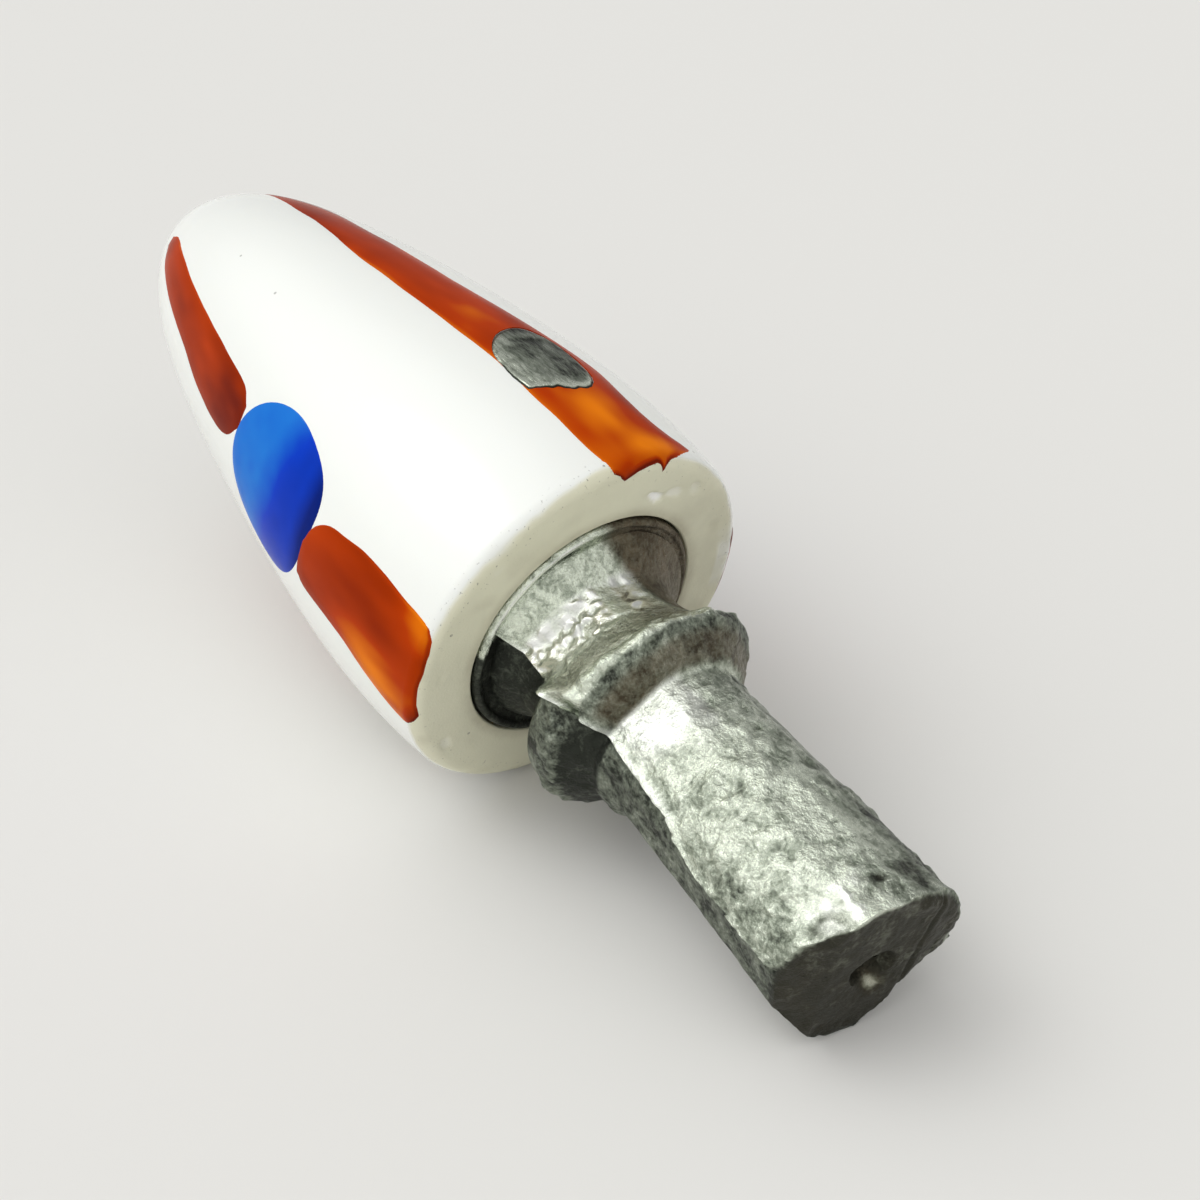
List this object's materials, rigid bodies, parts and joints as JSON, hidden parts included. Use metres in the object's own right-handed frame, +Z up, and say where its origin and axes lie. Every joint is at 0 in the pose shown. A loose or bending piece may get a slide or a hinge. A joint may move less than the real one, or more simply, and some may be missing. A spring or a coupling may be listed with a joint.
{
  "type": "trolling lure head",
  "caption": "Bullet-shaped glazed porcelain fishing lure head with a cast lead core: neck, flared collar and stem for a skirt, and a leader hole from nose to tail.",
  "frame": {"origin": "middle of the lure's footprint, on the surface it lies on", "axes": "+X from the nose towards the stem's end, +Y to the right seen from behind the stem, +Z up; the lure lies on the rim of its face and the end of its stem, nose up"},
  "size_m": [0.0604, 0.0212, 0.0227],
  "materials": {
    "porcelain": "gloss",
    "lead": "satin",
    "brass_tube": "satin",
    "red_enamel": "gloss",
    "blue_enamel": "gloss"
  },
  "bodies": {
    "root": {"porcelain_head": "porcelain", "lead_core": "lead", "cross_pin": "lead", "leader_tube": "brass_tube", "stripe_top": "red_enamel", "stripe_bottom": "red_enamel", "stripe_left_front": "red_enamel", "stripe_left_rear": "red_enamel", "stripe_right_front": "red_enamel", "stripe_right_rear": "red_enamel", "eye_left": "blue_enamel", "eye_right": "blue_enamel"}
  },
  "joints": []
}
